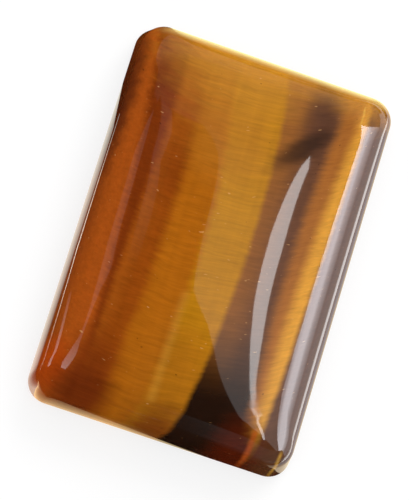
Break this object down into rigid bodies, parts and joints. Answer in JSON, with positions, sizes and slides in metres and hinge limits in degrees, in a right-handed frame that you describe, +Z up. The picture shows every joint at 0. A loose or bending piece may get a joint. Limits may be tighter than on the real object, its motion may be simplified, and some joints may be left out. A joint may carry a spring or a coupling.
{
  "type": "polished tiger's eye cabochon",
  "caption": "Rectangular polished tiger's eye stone with a flat back, rounded corners and a low domed top, which lies loose or is set as a cabochon.",
  "frame": {"origin": "middle of the flat back, at the height of the surface that the stone lies on", "axes": "+Y along the length, +X across the width, +Z up, out of the dome"},
  "size_m": [0.0204, 0.03, 0.0056],
  "materials": {
    "tigers_eye": "polished"
  },
  "bodies": {
    "root": {"cabochon": "tigers_eye"}
  },
  "joints": []
}
